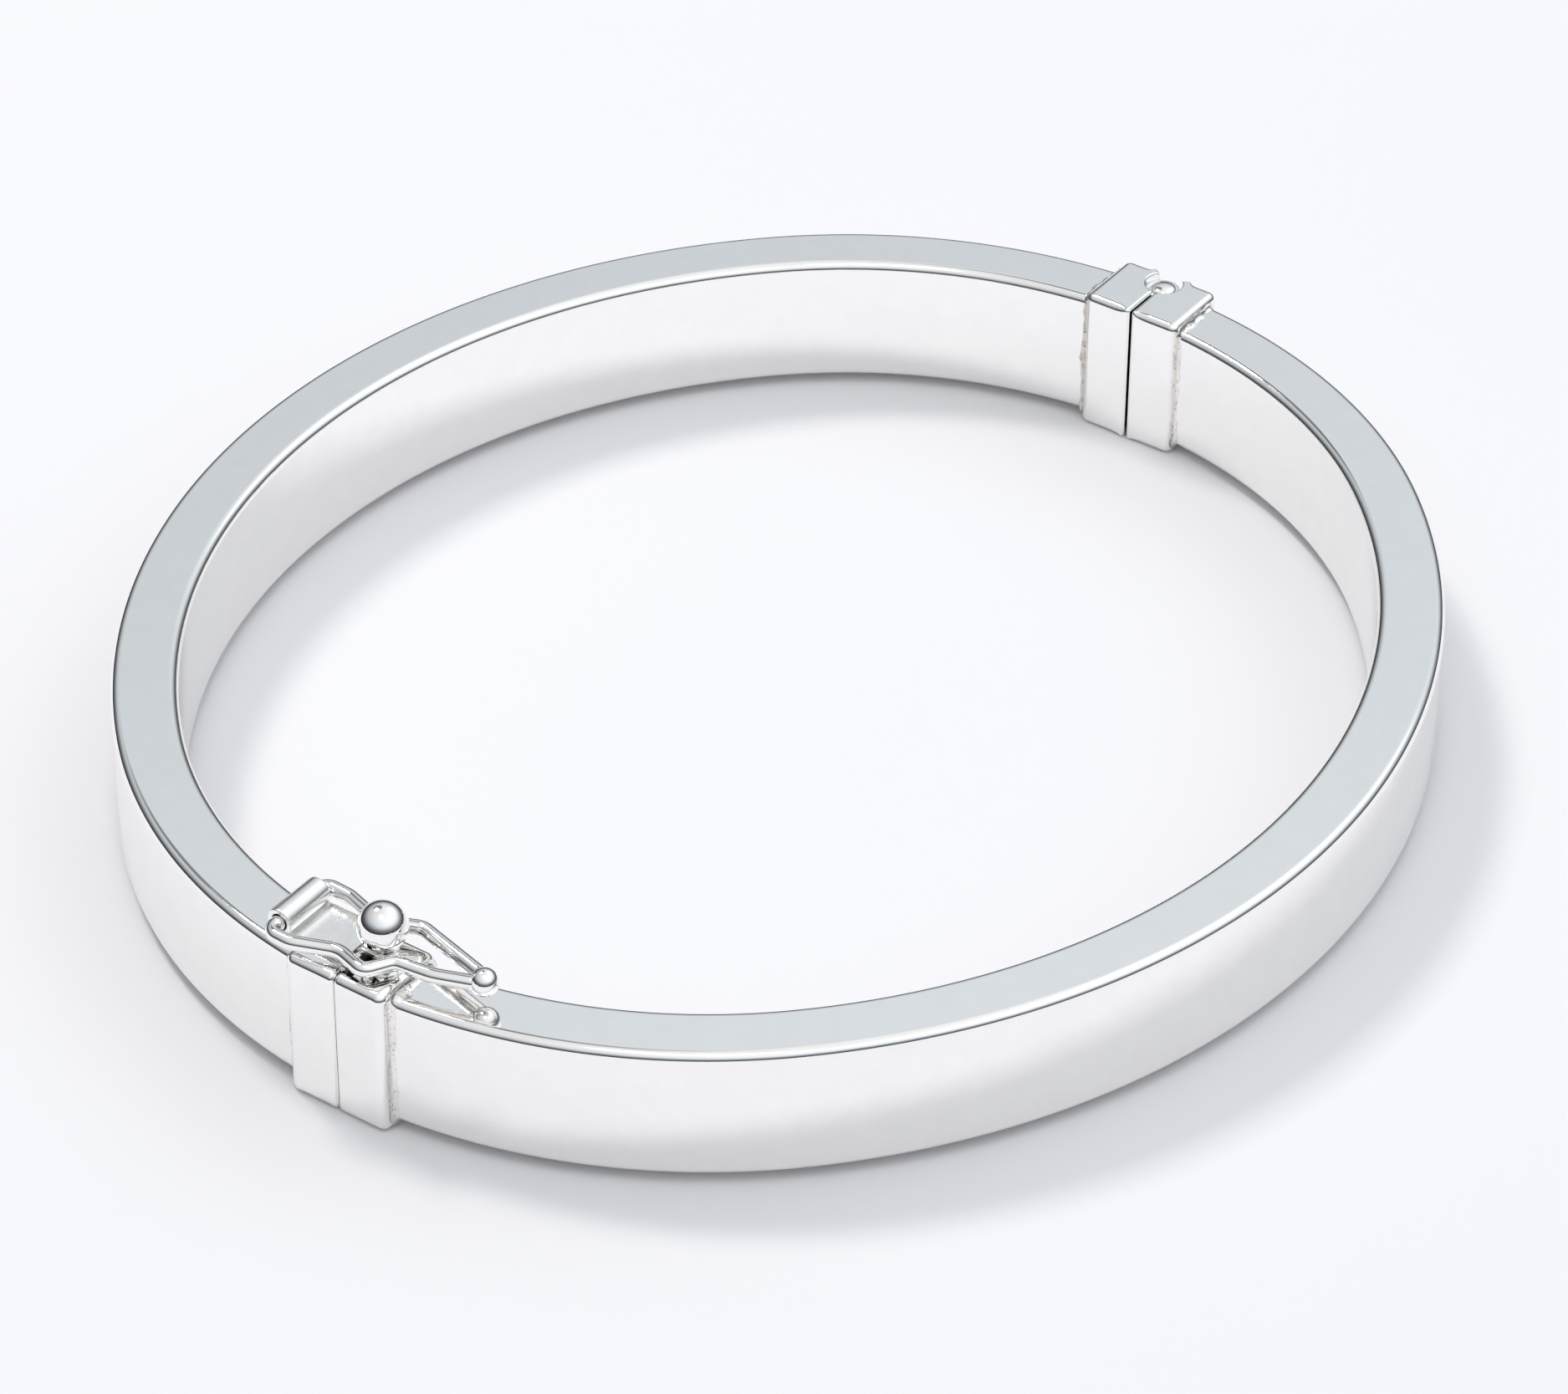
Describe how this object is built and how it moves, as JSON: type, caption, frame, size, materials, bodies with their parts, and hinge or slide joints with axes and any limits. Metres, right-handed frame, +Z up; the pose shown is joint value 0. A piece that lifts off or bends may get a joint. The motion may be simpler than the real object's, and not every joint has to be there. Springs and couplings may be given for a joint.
{
  "type": "hinged bangle bracelet",
  "caption": "Oval hinged bangle of hollow rectangular silver tube, with a pin hinge, a sprung box clasp and a figure-eight safety catch.",
  "frame": {"origin": "middle of the oval, on the surface that the bangle rests on", "axes": "+X along the oval's length towards the clasp, +Y towards the half that carries the tongue, +Z up along the height of the band"},
  "size_m": [0.067, 0.0592, 0.0104],
  "materials": {
    "polished_silver": "polished sterling silver with fine hairline wear",
    "satin_silver": "soft satin silver sheet"
  },
  "bodies": {
    "back_half": {"back_shell": "polished_silver", "back_clasp_collar": "polished_silver", "box_mouth_plate": "satin_silver", "box_stop_plate": "satin_silver", "back_hinge_collar": "polished_silver", "upper_hinge_knuckle": "polished_silver", "lower_hinge_knuckle": "polished_silver", "hinge_pin": "polished_silver", "safety_strap": "satin_silver"},
    "front_half": {"front_shell": "polished_silver", "front_clasp_collar": "polished_silver", "front_end_plate": "satin_silver", "tongue_lower_leaf": "satin_silver", "front_hinge_collar": "polished_silver", "middle_hinge_knuckle": "polished_silver"},
    "tongue": {"tongue_spring_leaf": "satin_silver", "thumb_tab": "satin_silver", "thumb_ball": "polished_silver"},
    "safety_catch": {"safety_wire": "polished_silver", "safety_wire_tip": "polished_silver"}
  },
  "joints": [
    {"name": "main_hinge", "type": "hinge", "parent": "back_half", "child": "front_half", "pos_m": [-0.0326, 0, 0.0038], "axis": [0, 0, 1], "range_deg": [0, 50], "deforming": ["safety_wire", "safety_wire_tip", "tongue_spring_leaf"]},
    {"name": "safety_catch_hinge", "type": "hinge", "parent": "back_half", "child": "safety_catch", "pos_m": [0.03107, -0.0036, 0.00825], "axis": [1, 0, 0], "range_deg": [0, 165], "deforming": ["safety_wire"]},
    {"name": "tongue_press", "type": "hinge", "parent": "front_half", "child": "tongue", "pos_m": [0.03123, -0.0044, 0.00316], "axis": [-1, 0, 0], "range_deg": [0, 2.8], "stiffness_Nm_per_rad": 0.02, "springref_deg": -2.86, "deforming": ["tongue_spring_leaf"]}
  ]
}
